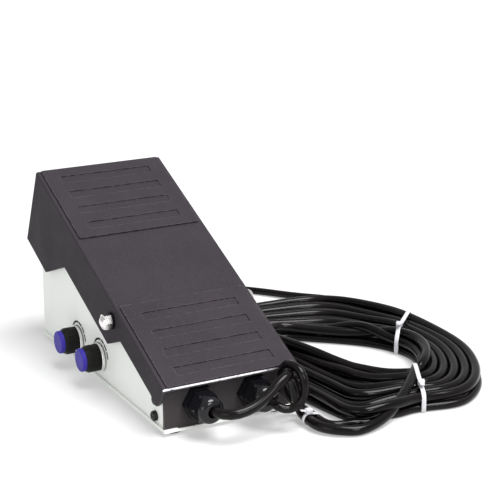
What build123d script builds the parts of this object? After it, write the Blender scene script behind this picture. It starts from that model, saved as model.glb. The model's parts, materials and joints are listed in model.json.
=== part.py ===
from build123d import *
import math
import os

# A sheet-steel foot control with a hinged treadle, two trim knobs and two cables.
# Millimetres. X runs from the heel to the toe, Y to the side with the knobs, Z up.
# The pedal is drawn about the middle of its base and written moved by SHIFT, which
# puts the origin on the floor at the middle of its footprint.

# Base
FLOOR_GAP = 3.0  # height of the rubber feet
BASE_LENGTH = 243.4
BASE_WIDTH = 106.0
SHEET = 1.5
LIP = 2.6  # height of the tray's lip
HEEL_LIP_DROP = 0.8
HEEL_LIP_CORNER = 11.0
PANEL_Y = BASE_WIDTH / 2 - SHEET  # outer face of a side panel
PANEL_TOE = BASE_LENGTH / 2 - SHEET
PLATE_X = -PANEL_TOE  # outer face of the heel plate
TRAY_TOP = FLOOR_GAP + SHEET
HEEL_TOP = 36.5
HEEL_OVERHANG = 1.2  # of the heel plate past each side panel, above the lip
TOE_TOP = 96.0
FOOT_X = 110.5
FOOT_Y = 42.0

# Treadle, measured along its top from the heel edge and down from the top
SLOPE = 24.0
HEEL_EDGE = (-127.2, 39.1)
TREADLE_LENGTH = 263.4
TREADLE_WIDTH = 112.0
TREADLE_SHEET = 2.0
SKIRT_TOE = 70.5
SKIRT_MIDDLE = 38.0
SKIRT_HEEL = 18.7
TOE_FLAP = 62.0
MAT_THICK = 1.6
MAT_INSET = 3.5
POCKET = (8.8, 80.0, 1.0)
POCKET_PITCH = 20.2

# Pivot
PIVOT = (-36.6, 64.0)
SHAFT_R = 4.0
WASHER = 1.6
NUT_HEIGHT = 8.2
NUT_BORE = 4.6
TRAVEL = 12.0

# Knobs
KNOB_X = (42.5, -2.5)
KNOB_Z = 22.6
KNOB_FACE = PANEL_Y + 18.5

# Potentiometer drive
SECTOR_R = 80.0
PINION_R = 6.0
TOOTH_MODULE = 1.0
MESH_GAP = 0.25
FRAME_Y = -6.0  # back face of the mechanism frame's web

# Glands and cables
GLAND_Y = (24.5, -20.5)
GLAND_Z = 22.5
GLAND_FACE = -144.1
CABLE_D = (8.0, 6.5)

COS = math.cos(math.radians(SLOPE))
SIN = math.sin(math.radians(SLOPE))
SKIRT_Y = TREADLE_WIDTH / 2
NUT_FACE = SKIRT_Y + WASHER + NUT_HEIGHT
BACK_X = HEEL_EDGE[0] + TREADLE_LENGTH * COS + SKIRT_TOE * SIN
SHIFT = (-(GLAND_FACE + BACK_X) / 2, -(KNOB_FACE - NUT_FACE) / 2, 0)

os.makedirs("parts", exist_ok=True)


def write(name, shape, move=SHIFT):
    """Write one piece, or a group of identical pieces, as its own file."""
    export_step(Pos(*move) * shape, f"parts/{name}.step")


def joined(shapes):
    """Several separate solids as one compound."""
    return Compound(children=list(shapes))


def block(x0, x1, y0, y1, z0, z1):
    """A box between two corners."""
    centre = ((x0 + x1) / 2, (y0 + y1) / 2, (z0 + z1) / 2)
    return Pos(*centre) * Box(x1 - x0, y1 - y0, z1 - z0)


def rod_x(r, x0, x1, y, z):
    return Pos((x0 + x1) / 2, y, z) * Rot(0, 90, 0) * Cylinder(r, x1 - x0)


def rod_y(r, y0, y1, x, z):
    return Pos(x, (y0 + y1) / 2, z) * Rot(90, 0, 0) * Cylinder(r, y1 - y0)


def rod_z(r, z0, z1, x, y):
    return Pos(x, y, (z0 + z1) / 2) * Cylinder(r, z1 - z0)


def hexagon(flats, height):
    """A hexagonal prism on the XY plane, across-flats size given, flats square to Y."""
    return extrude(RegularPolygon(flats / math.sqrt(3), 6), height)


def xz_plate(points, y_low, y_high):
    """A flat plate with an outline in X and Z, between two Y planes."""
    outline = make_face(Polyline(*points, close=True))
    return Pos(0, y_high, 0) * Rot(90, 0, 0) * extrude(outline, y_high - y_low)


def deck(shape):
    """Place a shape drawn flat, X from the heel edge and Z up, on the treadle's top plane."""
    return Pos(HEEL_EDGE[0], 0, HEEL_EDGE[1]) * Rot(0, -SLOPE, 0) * shape


def mirrored(shape):
    """The shape and its copy on the other side of the middle plane."""
    return joined([shape, mirror(shape, about=Plane.XZ)])


def pan_screw(shank_r, head_r, head_h, length):
    """A cross-recess pan-head screw along -Z, with its head standing on the XY plane."""
    head = Cylinder(head_r, head_h, align=(Align.CENTER, Align.CENTER, Align.MIN))
    head = fillet(head.edges().sort_by(Axis.Z)[-1], head_h * 0.45)
    arm = Box(head_r * 1.1, head_r * 0.24, head_h * 1.2)
    cross = Pos(0, 0, head_h) * (arm + Rot(0, 0, 90) * arm)
    shank = Cylinder(shank_r, length, align=(Align.CENTER, Align.CENTER, Align.MAX))
    return head - cross + shank


# ---------------------------------------------------------------- base


def base_tray():
    half_l = BASE_LENGTH / 2
    half_w = BASE_WIDTH / 2
    top = FLOOR_GAP + LIP
    tray = block(-half_l, half_l, -half_w, half_w, FLOOR_GAP, top)
    tray = fillet(tray.edges().filter_by(Axis.Z), 1.4)
    inner_l = half_l - SHEET
    inner_w = half_w - SHEET
    tray -= block(-inner_l, inner_l, -inner_w, inner_w, TRAY_TOP, top)
    notch_y = half_w - HEEL_LIP_CORNER
    tray -= block(-half_l, -inner_l, -notch_y, notch_y, top - HEEL_LIP_DROP, top)
    for x in (-FOOT_X, FOOT_X):
        for y in (-FOOT_Y, FOOT_Y):
            tray -= rod_z(3.0, FLOOR_GAP, TRAY_TOP, x, y)
    for x, y in RIVETS:
        tray -= rod_z(2.0, FLOOR_GAP, TRAY_TOP, x, y)
    return tray


def side_panel(knobs):
    """The side panel on the +Y side, with its own holes."""
    heel = PLATE_X + SHEET
    outline = [
        (heel, TRAY_TOP),
        (PANEL_TOE, TRAY_TOP),
        (PANEL_TOE, TOE_TOP),
        (-24.0, 74.5),
        (-42.0, 71.0),
        (heel, HEEL_TOP),
    ]
    panel = xz_plate(outline, PANEL_Y - SHEET, PANEL_Y)
    inner = PANEL_Y - SHEET
    panel -= rod_y(BUSH_R, inner, PANEL_Y, *PIVOT)
    for x, z, _ in SIDE_SCREWS:
        panel -= rod_y(SIDE_SCREW_R, inner, PANEL_Y, x, z)
    if knobs:
        for x in KNOB_X:
            panel -= rod_y(POT_BUSH_R, inner, PANEL_Y, x, KNOB_Z)
    return panel


def toe_panel():
    inner = PANEL_Y - SHEET
    outer = block(PANEL_TOE - 12, PANEL_TOE, -inner, inner, TRAY_TOP, TOE_TOP - 1)
    hollow = block(PANEL_TOE - 12, PANEL_TOE - SHEET, -inner + SHEET, inner - SHEET, TRAY_TOP, TOE_TOP - 1)
    return outer - hollow


def heel_plate():
    inner = PANEL_Y - SHEET
    plate = block(PLATE_X, PLATE_X + SHEET, -PANEL_Y, PANEL_Y, TRAY_TOP, HEEL_TOP)
    wide = PANEL_Y + HEEL_OVERHANG
    plate += block(PLATE_X, PLATE_X + SHEET, -wide, wide, FLOOR_GAP + LIP, HEEL_TOP)
    for y in GLAND_Y:
        plate -= rod_x(GLAND_NECK_R, PLATE_X, PLATE_X + SHEET, y, GLAND_Z)
    flange = block(PLATE_X + SHEET, PLATE_X + 26, inner - SHEET, inner, TRAY_TOP, HEEL_TOP - 8)
    for x, z, _ in SIDE_SCREWS:
        flange -= rod_y(SIDE_SCREW_R, inner - SHEET, inner, x, z)
    return plate + flange + mirror(flange, about=Plane.XZ)


def rubber_foot():
    foot = Cone(8.0, 7.0, FLOOR_GAP, align=(Align.CENTER, Align.CENTER, Align.MAX))
    foot = Pos(0, 0, FLOOR_GAP) * Rot(180, 0, 0) * Pos(0, 0, FLOOR_GAP) * foot
    stem = Cylinder(3.0, SHEET, align=(Align.CENTER, Align.CENTER, Align.MIN))
    bulb = Cone(4.0, 2.4, 2.2, align=(Align.CENTER, Align.CENTER, Align.MIN))
    return foot + Pos(0, 0, FLOOR_GAP) * stem + Pos(0, 0, TRAY_TOP) * bulb


def rubber_feet():
    places = [(x, y) for x in (-FOOT_X, FOOT_X) for y in (-FOOT_Y, FOOT_Y)]
    return joined([Pos(x, y, 0) * rubber_foot() for x, y in places])


# Where each side screw stands, and its head's height: the upper head is under the treadle's skirt
SIDE_SCREWS = [(-104.1, 10.9, 3.4), (-104.1, 23.4, 2.1)]
SIDE_SCREW_R = 2.0


def side_screws():
    screws = []
    for x, z, head_height in SIDE_SCREWS:
        screw = pan_screw(SIDE_SCREW_R, 3.9, head_height, 7.0)
        screws.append(Pos(x, PANEL_Y, z) * Rot(-90, 0, 0) * screw)
    return mirrored(joined(screws))


def side_nuts():
    inner = PANEL_Y - 2 * SHEET
    nut = hexagon(7.0, 3.0) - Cylinder(SIDE_SCREW_R, 8.0)
    nuts = [Pos(x, inner, z) * Rot(90, 0, 0) * nut for x, z, _ in SIDE_SCREWS]
    return mirrored(joined(nuts))


# ---------------------------------------------------------------- pivot

BUSH_R = 6.0


def pivot_bushes():
    """Nylon flange bushes in the side panels, their flanges facing the skirts."""
    sleeve = rod_y(BUSH_R, PANEL_Y - SHEET - 1.0, PANEL_Y, *PIVOT)
    flange = rod_y(8.0, PANEL_Y, SKIRT_Y - TREADLE_SHEET - 0.15, *PIVOT)
    bore = rod_y(SHAFT_R + 0.05, PANEL_Y - 10, SKIRT_Y, *PIVOT)
    return mirrored(sleeve + flange - bore)


def pivot_shaft():
    end = SKIRT_Y + WASHER + NUT_BORE
    return rod_y(SHAFT_R, -end, end, *PIVOT)


def pivot_washers():
    ring = rod_y(6.5, SKIRT_Y, SKIRT_Y + WASHER, *PIVOT) - rod_y(SHAFT_R, SKIRT_Y, SKIRT_Y + WASHER, *PIVOT)
    return mirrored(ring)


def dome_nuts():
    """Cap nuts: a hexagon under a low dome."""
    hex_h = 5.6
    skirt = hexagon(11.2, hex_h) & Cone(8.8, 6.0, hex_h, align=(Align.CENTER, Align.CENTER, Align.MIN))
    dome_h = NUT_HEIGHT - hex_h
    base_r = 5.0
    sphere_r = (base_r**2 + dome_h**2) / (2 * dome_h)
    ball = Pos(0, 0, NUT_HEIGHT - sphere_r) * Sphere(sphere_r)
    cap = ball & Pos(0, 0, hex_h) * Cylinder(base_r, dome_h, align=(Align.CENTER, Align.CENTER, Align.MIN))
    bore = Cylinder(SHAFT_R, NUT_BORE, align=(Align.CENTER, Align.CENTER, Align.MIN))
    nut = skirt + cap - bore
    return mirrored(Pos(PIVOT[0], SKIRT_Y + WASHER, PIVOT[1]) * Rot(-90, 0, 0) * nut)


# ---------------------------------------------------------------- treadle


def skirt_outline():
    """The skirt's edge, as (distance from the heel edge, height below the top)."""
    return [
        (0.0, 0.0),
        (TREADLE_LENGTH, 0.0),
        (TREADLE_LENGTH, -SKIRT_TOE),
        (218.0, -SKIRT_TOE),
        (185.5, -SKIRT_MIDDLE),
        (92.5, -SKIRT_MIDDLE),
        (73.9, -SKIRT_HEEL),
        (15.5, -SKIRT_HEEL),
        (11.5, -SKIRT_HEEL - 1.6),
        (4.5, -SKIRT_HEEL - 1.6),
        (0.0, -12.0),
    ]


def treadle_plate():
    """One folded sheet: top, two skirts and a toe flap."""
    skirt = xz_plate(skirt_outline(), -SKIRT_Y, SKIRT_Y)
    corners = skirt.edges().filter_by(Axis.Y)
    tip = [e for e in corners if e.center().X < 5 and e.center().Z < -5]
    skirt = fillet(tip, 3.0)
    folds = skirt.edges().filter_by(Axis.X).sort_by(Axis.Z)[-2:]
    skirt = fillet(folds, 1.6)
    wall = TREADLE_SHEET
    inner_y = SKIRT_Y - wall
    deep = SKIRT_TOE + 5
    skirt -= block(-5, TREADLE_LENGTH - wall, -inner_y, inner_y, -deep, -wall)
    skirt -= block(TREADLE_LENGTH - wall, TREADLE_LENGTH, -inner_y, inner_y, -deep, -TOE_FLAP)
    plate = deck(skirt)
    return plate - rod_y(SHAFT_R, -SKIRT_Y, SKIRT_Y, *PIVOT)


def mat(start, end, first_pocket):
    """A ribbed rubber mat with four shallow pockets across it."""
    half = SKIRT_Y - MAT_INSET
    pad = block(start, end, -half, half, 0, MAT_THICK)
    pad = fillet(pad.edges().filter_by(Axis.Z), 1.5)
    for n in range(4):
        middle = first_pocket + n * POCKET_PITCH
        cut = Pos(middle, 0, MAT_THICK) * Box(POCKET[0], POCKET[1], 2 * POCKET[2])
        pad -= fillet(cut.edges().filter_by(Axis.Z), 0.8)
    return deck(pad)


# ---------------------------------------------------------------- mechanism

RIVETS = [(x, FRAME_Y - 12) for x in (-48.0, 6.0, 60.0)]
POT_AT = (PIVOT[0] + SECTOR_R + PINION_R + MESH_GAP, PIVOT[1])
POT_SHAFT_R = 3.0
STOP_R = 50.0
STOP_ANGLE = -4.0
STOP_AT = (
    PIVOT[0] + STOP_R * math.cos(math.radians(STOP_ANGLE)),
    PIVOT[1] + STOP_R * math.sin(math.radians(STOP_ANGLE)),
)
STOP_PIN_R = 2.5
WEB_FRONT = FRAME_Y + SHEET


def mechanism_frame():
    """A folded bracket whose web carries the main potentiometer, stop and switch."""
    outline = [(-60, TRAY_TOP), (72, TRAY_TOP), (72, 82), (-30, 73), (-60, 61)]
    web = xz_plate(outline, FRAME_Y, WEB_FRONT)
    web -= rod_y(11.5, FRAME_Y, WEB_FRONT, *PIVOT)
    web -= rod_y(POT_BUSH_R, FRAME_Y, WEB_FRONT, *POT_AT)
    web -= rod_y(STOP_PIN_R - 0.5, FRAME_Y, WEB_FRONT, *STOP_AT)
    for x, z in SWITCH_SCREWS:
        web -= rod_y(1.2, FRAME_Y, WEB_FRONT, x, z)
    foot = block(-60, 72, FRAME_Y - 22, FRAME_Y, TRAY_TOP, TRAY_TOP + SHEET)
    for x, y in RIVETS:
        foot -= rod_z(2.0, TRAY_TOP, TRAY_TOP + SHEET, x, y)
    return web + foot


def frame_rivets():
    head = Cylinder(3.8, 1.2, align=(Align.CENTER, Align.CENTER, Align.MIN))
    head = fillet(head.edges().sort_by(Axis.Z)[-1], 0.9)
    body = rod_z(2.0, FLOOR_GAP, TRAY_TOP + SHEET, 0, 0)
    rivet = Pos(0, 0, TRAY_TOP + SHEET) * head + Pos(0, 0, FLOOR_GAP) * Rot(180, 0, 0) * head + body
    return joined([Pos(x, y, 0) * rivet for x, y in RIVETS])


def ring_of_teeth(radius, module, angles, width_angle, thickness):
    """Gear teeth as tapered blocks at the given angles, in the XY plane."""
    root = radius - 1.25 * module
    tip = radius + 1.0 * module
    teeth = []
    for angle in angles:
        half_root = width_angle * 0.62
        half_tip = width_angle * 0.26
        corners = [
            (root, angle - half_root),
            (tip, angle - half_tip),
            (tip, angle + half_tip),
            (root, angle + half_root),
        ]
        points = [(r * math.cos(math.radians(a)), r * math.sin(math.radians(a))) for r, a in corners]
        teeth.append(extrude(make_face(Polyline(*points, close=True)), thickness))
    return teeth


def sector_gear():
    """A lever clamped on the pivot shaft: hub, toothed arc, stop slot and switch finger."""
    thick = 3.0
    pitch_angle = math.degrees(TOOTH_MODULE * math.pi / SECTOR_R)
    root = SECTOR_R - 1.25 * TOOTH_MODULE
    low, high = -4 * pitch_angle, 9 * pitch_angle
    rim = Cylinder(root + 0.2, thick, align=(Align.CENTER, Align.CENTER, Align.MIN))
    reach = 130.0
    wedge_points = [(0, 0)]
    for angle in (low, (low + high) / 2, high):
        wedge_points.append((reach * math.cos(math.radians(angle)), reach * math.sin(math.radians(angle))))
    wedge = extrude(make_face(Polyline(*wedge_points, close=True)), thick)
    plate = rim & wedge
    angles = [n * pitch_angle for n in range(-3, 9)]
    for tooth in ring_of_teeth(SECTOR_R, TOOTH_MODULE, angles, pitch_angle * 0.5, thick):
        plate += tooth
    plate += Cylinder(9.0, 9.0, align=(Align.CENTER, Align.CENTER, Align.MIN))
    plate += Pos(0, -12.5, thick / 2) * Box(6.0, 13.0, thick)
    half = math.degrees((STOP_PIN_R + 0.4) / STOP_R)
    for step in range(9):
        turn = STOP_ANGLE + TRAVEL * step / 8
        spot = (STOP_R * math.cos(math.radians(turn)), STOP_R * math.sin(math.radians(turn)), 0)
        plate -= Pos(*spot) * Cylinder(STOP_PIN_R + 0.4, 3 * thick)
    for inner, outer in ((24.0, 42.0), (58.0, 72.0)):
        middle = (low + high) / 2
        window = Cylinder(outer, 3 * thick) - Cylinder(inner, 4 * thick)
        edge = 0.55 * (high - low) / 2
        points = [(0, 0)]
        for turn in (middle - edge, middle + edge):
            points.append((reach * math.cos(math.radians(turn)), reach * math.sin(math.radians(turn))))
        cut = Pos(0, 0, -thick) * extrude(make_face(Polyline(*points, close=True)), 3 * thick)
        plate -= window & cut
    plate -= Cylinder(SHAFT_R, 40)
    return Pos(PIVOT[0], thick, PIVOT[1]) * Rot(90, 0, 0) * plate


def stop_screw():
    body = rod_y(STOP_PIN_R - 0.5, FRAME_Y - 1.5, WEB_FRONT, *STOP_AT)
    shoulder = rod_y(STOP_PIN_R, WEB_FRONT, 3.5, *STOP_AT)
    head = rod_y(4.6, 3.5, 6.0, *STOP_AT)
    return body + shoulder + head


POT_BUSH_R = 3.6
POT_BORE_R = 3.05


def potentiometer(radius, depth, bush):
    """A rotary potentiometer: can, terminals and threaded bush along +Z from its face."""
    can = Cylinder(radius, depth, align=(Align.CENTER, Align.CENTER, Align.MAX))
    can = fillet(can.edges().sort_by(Axis.Z)[0], 1.2)
    wafer = Pos(0, -radius - 1.5, -2.4) * Box(radius * 1.3, 7.0, 1.6)
    lugs = [Pos(n * radius * 0.42, -radius - 7.0, -2.4) * Box(1.4, 6.0, 0.6) for n in (-1, 0, 1)]
    thread = Cylinder(POT_BUSH_R, bush, align=(Align.CENTER, Align.CENTER, Align.MIN))
    body = can + wafer + thread
    for lug in lugs:
        body += lug
    return body - Cylinder(POT_BORE_R, 4 * bush)


def pot_nut(flats, height):
    return hexagon(flats, height) - Cylinder(POT_BUSH_R, 3 * height)


def main_pot():
    body = potentiometer(12.0, 14.0, 4.5)
    return Pos(POT_AT[0], FRAME_Y, POT_AT[1]) * Rot(-90, 0, 0) * Rot(0, 0, 180) * body


def main_pot_nut():
    return Pos(POT_AT[0], WEB_FRONT, POT_AT[1]) * Rot(-90, 0, 0) * pot_nut(10.0, 2.0)


def main_pot_shaft():
    return rod_y(POT_SHAFT_R, FRAME_Y - 9.0, 6.0, *POT_AT)


def pinion():
    thick = 5.0
    teeth = 12
    gear = Cylinder(PINION_R - 1.25 * TOOTH_MODULE + 0.15, thick, align=(Align.CENTER, Align.CENTER, Align.MIN))
    pitch = 360 / teeth
    # a gap, and not a tooth, faces the sector at rest
    angles = [180 + pitch * (n + 0.5) for n in range(teeth)]
    for tooth in ring_of_teeth(PINION_R, TOOTH_MODULE, angles, pitch * 0.5, thick):
        gear += tooth
    gear -= Cylinder(POT_SHAFT_R, 20)
    return Pos(POT_AT[0], 4.6, POT_AT[1]) * Rot(90, 0, 0) * gear


SPRING_AT = (8.0, 24.0)
SPRING_LOW = 40.0
SPRING_R = 7.0
SPRING_WIRE = 1.3


def spring_high():
    """Height of the treadle's underside over the spring."""
    rise = (SPRING_AT[0] - HEEL_EDGE[0]) * math.tan(math.radians(SLOPE))
    return HEEL_EDGE[1] + rise - TREADLE_SHEET / COS


def spring_post():
    flange = rod_z(11.0, TRAY_TOP, TRAY_TOP + 3, *SPRING_AT)
    column = rod_z(7.0, TRAY_TOP + 3, SPRING_LOW - 2, *SPRING_AT)
    seat = rod_z(10.0, SPRING_LOW - 2, SPRING_LOW, *SPRING_AT)
    pilot = rod_z(4.4, SPRING_LOW, SPRING_LOW + 9, *SPRING_AT)
    return flange + column + seat + chamfer(pilot.edges().sort_by(Axis.Z)[-1], 1.2)


def spring_cup():
    """A pressed cup welded under the treadle, its mouth square to the spring."""
    high = spring_high()
    cup = rod_z(10.0, high - 9, high + 9, *SPRING_AT)
    cup -= rod_z(8.8, high - 9, high - 5.5, *SPRING_AT)
    under = deck(Pos(150, 0, -TREADLE_SHEET - 50) * Box(300, 90, 100))
    return cup & under


def return_spring():
    low = SPRING_LOW + SPRING_WIRE
    high = spring_high() - 5.5 - SPRING_WIRE
    turns = 6.0
    coil = Helix((high - low) / turns, high - low, SPRING_R)
    section = Plane(origin=coil @ 0, z_dir=coil % 0) * Circle(SPRING_WIRE)
    return Pos(SPRING_AT[0], SPRING_AT[1], low) * sweep(section, path=coil)


SWITCH = (-55.5, -45.5, 25.0, 47.0)  # low x, high x, low z, high z
SWITCH_SCREWS = [(-50.5, 29.5), (-50.5, 42.5)]
LEVER_HINGE = (-43.6, 27.0)


def microswitch_body():
    x0, x1, z0, z1 = SWITCH
    body = block(x0, x1, WEB_FRONT, WEB_FRONT + 6.4, z0, z1)
    body = fillet(body.edges().filter_by(Axis.Y), 0.8)
    for x, z in SWITCH_SCREWS:
        body -= rod_y(1.2, WEB_FRONT, WEB_FRONT + 7, x, z)
    for z in (z0 + 4, (z0 + z1) / 2, z1 - 4):
        body += block(x0 - 4, x0, WEB_FRONT + 1.6, WEB_FRONT + 4.8, z - 0.3, z + 0.3)
    button = block(x1, x1 + 0.7, WEB_FRONT + 2.2, WEB_FRONT + 4.2, 30.5, 32.5)
    return body + button


def microswitch_lever():
    """A bent leaf: a short foot at the hinge and a long arm beside the sector's finger."""
    x, z = LEVER_HINGE
    y0, y1 = WEB_FRONT + 1.4, 3.2
    foot = block(x, -40.2, y0, y1, z - 0.3, z + 0.3)
    arm = block(-40.8, -40.2, y0, y1, z - 0.3, 48.0)
    eye = rod_y(0.8, y0, y1, x, z)
    return foot + arm + eye


def switch_screws():
    screws = []
    for x, z in SWITCH_SCREWS:
        screw = pan_screw(1.2, 2.1, 1.5, 9.0)
        screws.append(Pos(x, WEB_FRONT + 6.4, z) * Rot(-90, 0, 0) * screw)
    return joined(screws)


TERMINALS = (-96.0, -66.0, 8.0, 44.0)  # low x, high x, low y, high y


def terminal_block():
    x0, x1, y0, y1 = TERMINALS
    top = TRAY_TOP + 12
    body = block(x0, x1, y0, y1, TRAY_TOP, top - 4)
    ridge = block(x0 + 8, x1 - 8, y0, y1, top - 4, top)
    body += ridge
    ways = 6
    pitch = (y1 - y0) / ways
    for n in range(ways):
        y = y0 + pitch * (n + 0.5)
        body -= rod_z(2.0, top - 4, top, (x0 + x1) / 2, y)
        body -= rod_x(1.3, x0 + 8, x1 - 8, y, TRAY_TOP + 6)
    return body


def terminal_screws():
    x0, x1, y0, y1 = TERMINALS
    ways = 6
    pitch = (y1 - y0) / ways
    top = TRAY_TOP + 8
    screws = []
    for n in range(ways):
        y = y0 + pitch * (n + 0.5)
        screw = rod_z(1.9, top, top + 2.4, (x0 + x1) / 2, y)
        slot = block((x0 + x1) / 2 - 2, (x0 + x1) / 2 + 2, y - 0.3, y + 0.3, top + 1.6, top + 2.4)
        screws.append(screw - slot)
    return joined(screws)


# ---------------------------------------------------------------- knobs


def panel_pot(x):
    body = potentiometer(8.0, 10.0, 6.5)
    return Pos(x, PANEL_Y - SHEET, KNOB_Z) * Rot(-90, 0, 0) * body


def panel_pot_nuts():
    nut = Rot(-90, 0, 0) * pot_nut(10.0, 2.2)
    return joined([Pos(x, PANEL_Y, KNOB_Z) * nut for x in KNOB_X])


KNOB_GAP = 3.4  # between the panel and the back of a knob
KNOB_R = 10.7
CAP_R = 9.2
CAP_HEIGHT = 3.2


def knob_shaft(x):
    return rod_y(POT_SHAFT_R, PANEL_Y - SHEET - 7, PANEL_Y + 12.5, x, KNOB_Z)


def knob_collar(x):
    """The pale skirt ring at the back of a knob."""
    ring = rod_y(11.8, PANEL_Y + 1.2, PANEL_Y + KNOB_GAP, x, KNOB_Z)
    ring = chamfer(ring.edges().sort_by(Axis.Y)[-1], 0.4)
    return ring - rod_y(7.6, PANEL_Y, PANEL_Y + 4, x, KNOB_Z)


def knob_body(x):
    """A ribbed drum with a sloping shoulder round the cap."""
    length = KNOB_FACE - CAP_HEIGHT - PANEL_Y - KNOB_GAP
    shoulder = 3.0
    drum_h = length - shoulder
    drum = Cylinder(KNOB_R, drum_h, align=(Align.CENTER, Align.CENTER, Align.MIN))
    ribs = 30
    for n in range(ribs):
        drum -= Rot(0, 0, 360 * n / ribs) * Pos(KNOB_R + 0.35, 0, 0) * Cylinder(0.7, 3 * drum_h)
    cone = Cone(KNOB_R - 0.35, CAP_R, shoulder, align=(Align.CENTER, Align.CENTER, Align.MIN))
    body = drum + Pos(0, 0, drum_h) * cone
    body -= Cylinder(7.6, 5.0)
    body -= Cylinder(POT_SHAFT_R, 2 * (12.5 - KNOB_GAP))
    return Pos(x, PANEL_Y + KNOB_GAP, KNOB_Z) * Rot(-90, 0, 0) * body


def knob_cap(x):
    """The coloured cap pressed on the front of a knob."""
    cap = Cylinder(CAP_R, CAP_HEIGHT, align=(Align.CENTER, Align.CENTER, Align.MIN))
    cap = fillet(cap.edges().sort_by(Axis.Z)[-1], 1.2)
    return Pos(x, KNOB_FACE - CAP_HEIGHT, KNOB_Z) * Rot(-90, 0, 0) * cap


# ---------------------------------------------------------------- glands

GLAND_NECK_R = 8.0


def gland_body(y):
    flange = hexagon(24.0, 5.0)
    flange = flange & Cone(14.6, 13.0, 5.0, align=(Align.CENTER, Align.CENTER, Align.MIN))
    collar = Pos(0, 0, 5) * Cylinder(9.0, 3.0, align=(Align.CENTER, Align.CENTER, Align.MIN))
    neck = Cylinder(GLAND_NECK_R, 9.0, align=(Align.CENTER, Align.CENTER, Align.MAX))
    body = flange + collar + neck - Cylinder(5.5, 60)
    return Pos(PLATE_X, y, GLAND_Z) * Rot(0, -90, 0) * Rot(0, 0, 30) * body


def gland_nut(y, bore):
    """The dome nut that squeezes the seal round the cable."""
    low = 6.0
    height = PLATE_X - GLAND_FACE - low
    hex_h = 9.6
    nut = hexagon(21.0, hex_h) & Cone(13.6, 11.4, hex_h, align=(Align.CENTER, Align.CENTER, Align.MIN))
    dome = Cylinder(10.2, height - hex_h, align=(Align.CENTER, Align.CENTER, Align.MIN))
    dome = fillet(dome.edges().sort_by(Axis.Z)[-1], 5.0)
    nut += Pos(0, 0, hex_h) * dome
    nut -= Cylinder(9.0, 4.0, align=(Align.CENTER, Align.CENTER, Align.CENTER))
    nut -= Cylinder(bore, 80)
    return Pos(PLATE_X - low, y, GLAND_Z) * Rot(0, -90, 0) * Rot(0, 0, 30) * nut


def gland_locknuts():
    nut = Rot(0, 90, 0) * (hexagon(22.0, 4.0) - Cylinder(GLAND_NECK_R, 20))
    return joined([Pos(PLATE_X + SHEET, y, GLAND_Z) * nut for y in GLAND_Y])


def gland_seals():
    """Rubber rings inside the glands, gripping the cables."""
    seals = []
    for y, cable in zip(GLAND_Y, CABLE_D):
        ring = rod_x(5.5, PLATE_X - 8.0, PLATE_X - 1.0, y, GLAND_Z)
        seals.append(ring - rod_x(cable / 2, PLATE_X - 9.0, PLATE_X, y, GLAND_Z))
    return joined(seals)


# ---------------------------------------------------------------- cables

COIL_HEIGHT = 17.0
COIL_OUTLINE = [
    (-164.0, -47.3),
    (-176.0, -47.3),
    (-191.0, -62.0),
    (-191.0, -98.0),
    (-181.5, -136.0),
    (-177.0, -182.0),
    (-148.0, -216.0),
    (-70.0, -245.0),
    (-10.0, -241.0),
    (32.0, -236.0),
    (77.0, -219.0),
    (95.0, -194.0),
    (95.0, -150.0),
    (82.0, -61.0),
    (-148.0, -66.0),
    (-164.0, -66.0),
]
COIL_HOLE = [
    (-2.0, -122.0),
    (-12.0, -152.0),
    (-26.0, -170.0),
    (-56.0, -191.0),
    (-88.0, -191.0),
    (-123.0, -158.0),
    (-76.0, -125.0),
    (-40.0, -106.0),
]

# Each lead from its gland to the coil, and each tail from the coil to its plug
LEAD_1 = [
    (-154.0, 22.4, 22.5),
    (-156.0, -6.0, 24.5),
    (-150.0, -36.0, 46.0),
    (-143.0, -43.0, 33.0),
    (-137.5, -51.5, 9.5),
    (-146.5, -51.6, 5.3),
    (-169.0, -51.6, 5.3),
]
LEAD_2 = [
    (-151.0, -22.6, 22.5),
    (-154.5, -34.0, 16.5),
    (-159.0, -45.5, 26.0),
    (-155.0, -44.5, 47.0),
    (-134.0, -40.0, 48.0),
    (-129.0, -40.0, 24.0),
    (-129.0, -55.0, 8.0),
    (-142.0, -59.5, 4.6),
    (-169.0, -59.5, 4.6),
]
TAIL_1 = [(84.0, -110.0, 4.0), (108.0, -98.0, 4.0), (132.0, -97.0, 5.5), (152.0, -88.0, 9.0)]
TAIL_2 = [
    (72.0, -205.0, 7.0),
    (100.0, -186.0, 4.0),
    (132.0, -163.0, 3.3),
    (158.0, -136.0, 3.3),
    (172.0, -112.0, 5.5),
    (174.0, -90.0, 9.0),
]
TIE_1_AT = (-34.0, -214.0)
TIE_2_AT = (-152.0, -149.0)
TIE_3_AT = (-151.0, -55.1)
PLUG_AT = [(152.0, -70.0, 9.0), (174.0, -70.0, 9.0)]
PLUG_LENGTH = 44.0


def cable_tube(name, points, diameter):
    """A round tube along straight runs joined by the largest arcs that fit."""
    ends = [Vector(*p) for p in points]
    runs = [b - a for a, b in zip(ends, ends[1:])]
    radii = []
    for first, second in zip(runs, runs[1:]):
        turn = math.radians(first.get_angle(second))
        radii.append(0.45 * min(first.length, second.length) / math.tan(turn / 2))
    path = FilletPolyline(*points, radius=radii)
    start = Plane(origin=path @ 0, z_dir=path % 0)
    tube = sweep(start * Circle(diameter / 2), path=path)
    ideal = math.pi * diameter**2 / 4 * path.length
    listed = ", ".join(f"{r:.0f}" for r in radii)
    print(f"{name}: length {path.length:.0f}, radii {listed}, volume ratio {tube.volume / ideal:.3f}")
    return tube


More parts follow.
